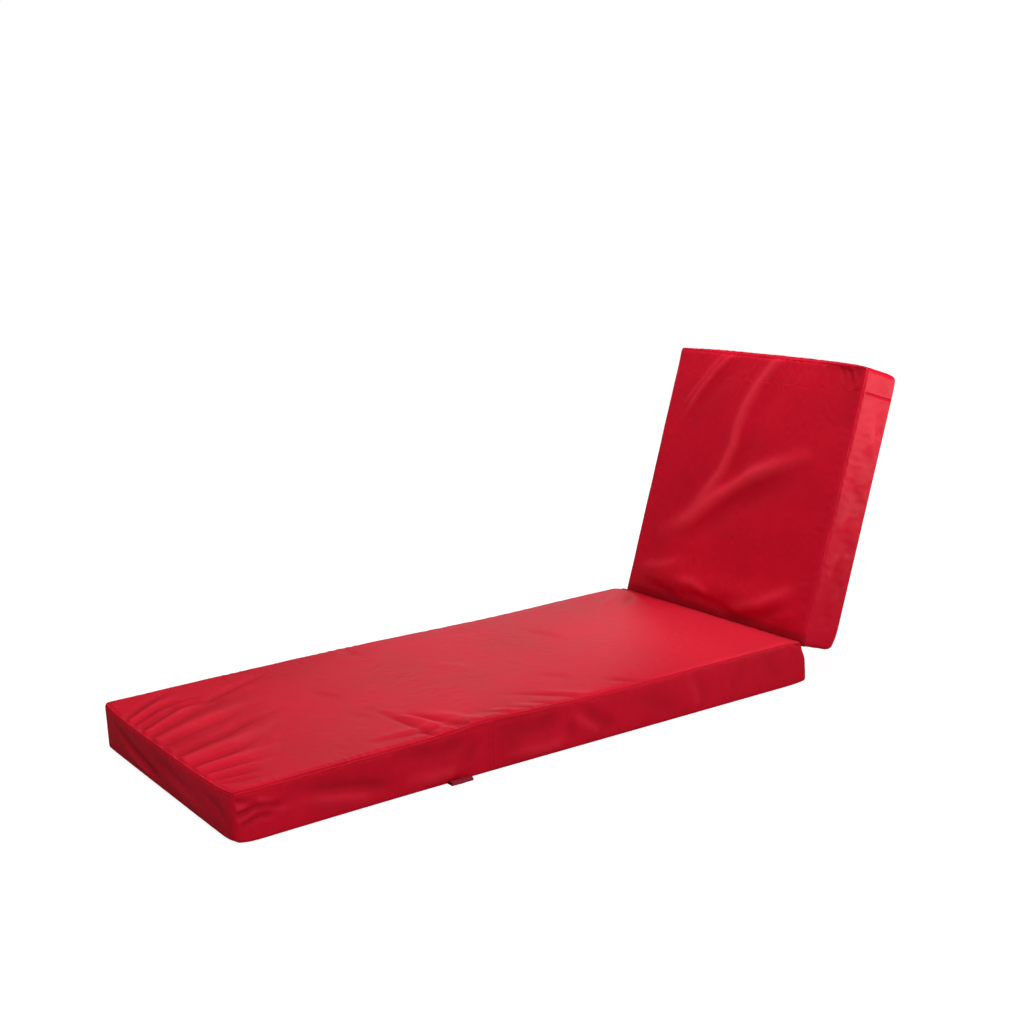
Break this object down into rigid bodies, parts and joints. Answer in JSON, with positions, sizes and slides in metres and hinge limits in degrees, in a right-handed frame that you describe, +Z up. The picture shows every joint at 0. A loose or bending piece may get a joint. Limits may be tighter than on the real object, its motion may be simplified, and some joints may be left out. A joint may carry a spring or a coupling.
{
  "type": "sun lounger cushion",
  "caption": "Long flat seat pad with a shorter back pad raised on its hinge, both boxed foam cushions in plain red outdoor cloth, with a small side loop.",
  "frame": {"origin": "middle of the seat pad's flat underside", "axes": "+X from the foot end to the head end, +Y across the pads to the far side, +Z up"},
  "size_m": [1.5764, 0.6192, 0.6491],
  "materials": {
    "cover_cloth": "closely woven outdoor polyester, plain red, slight satin sheen",
    "webbing": "folded red webbing, matt"
  },
  "bodies": {
    "root": {"seat_pad": "cover_cloth", "back_pad": "cover_cloth", "hinge_strip": "cover_cloth", "side_loop": "webbing"}
  },
  "joints": []
}
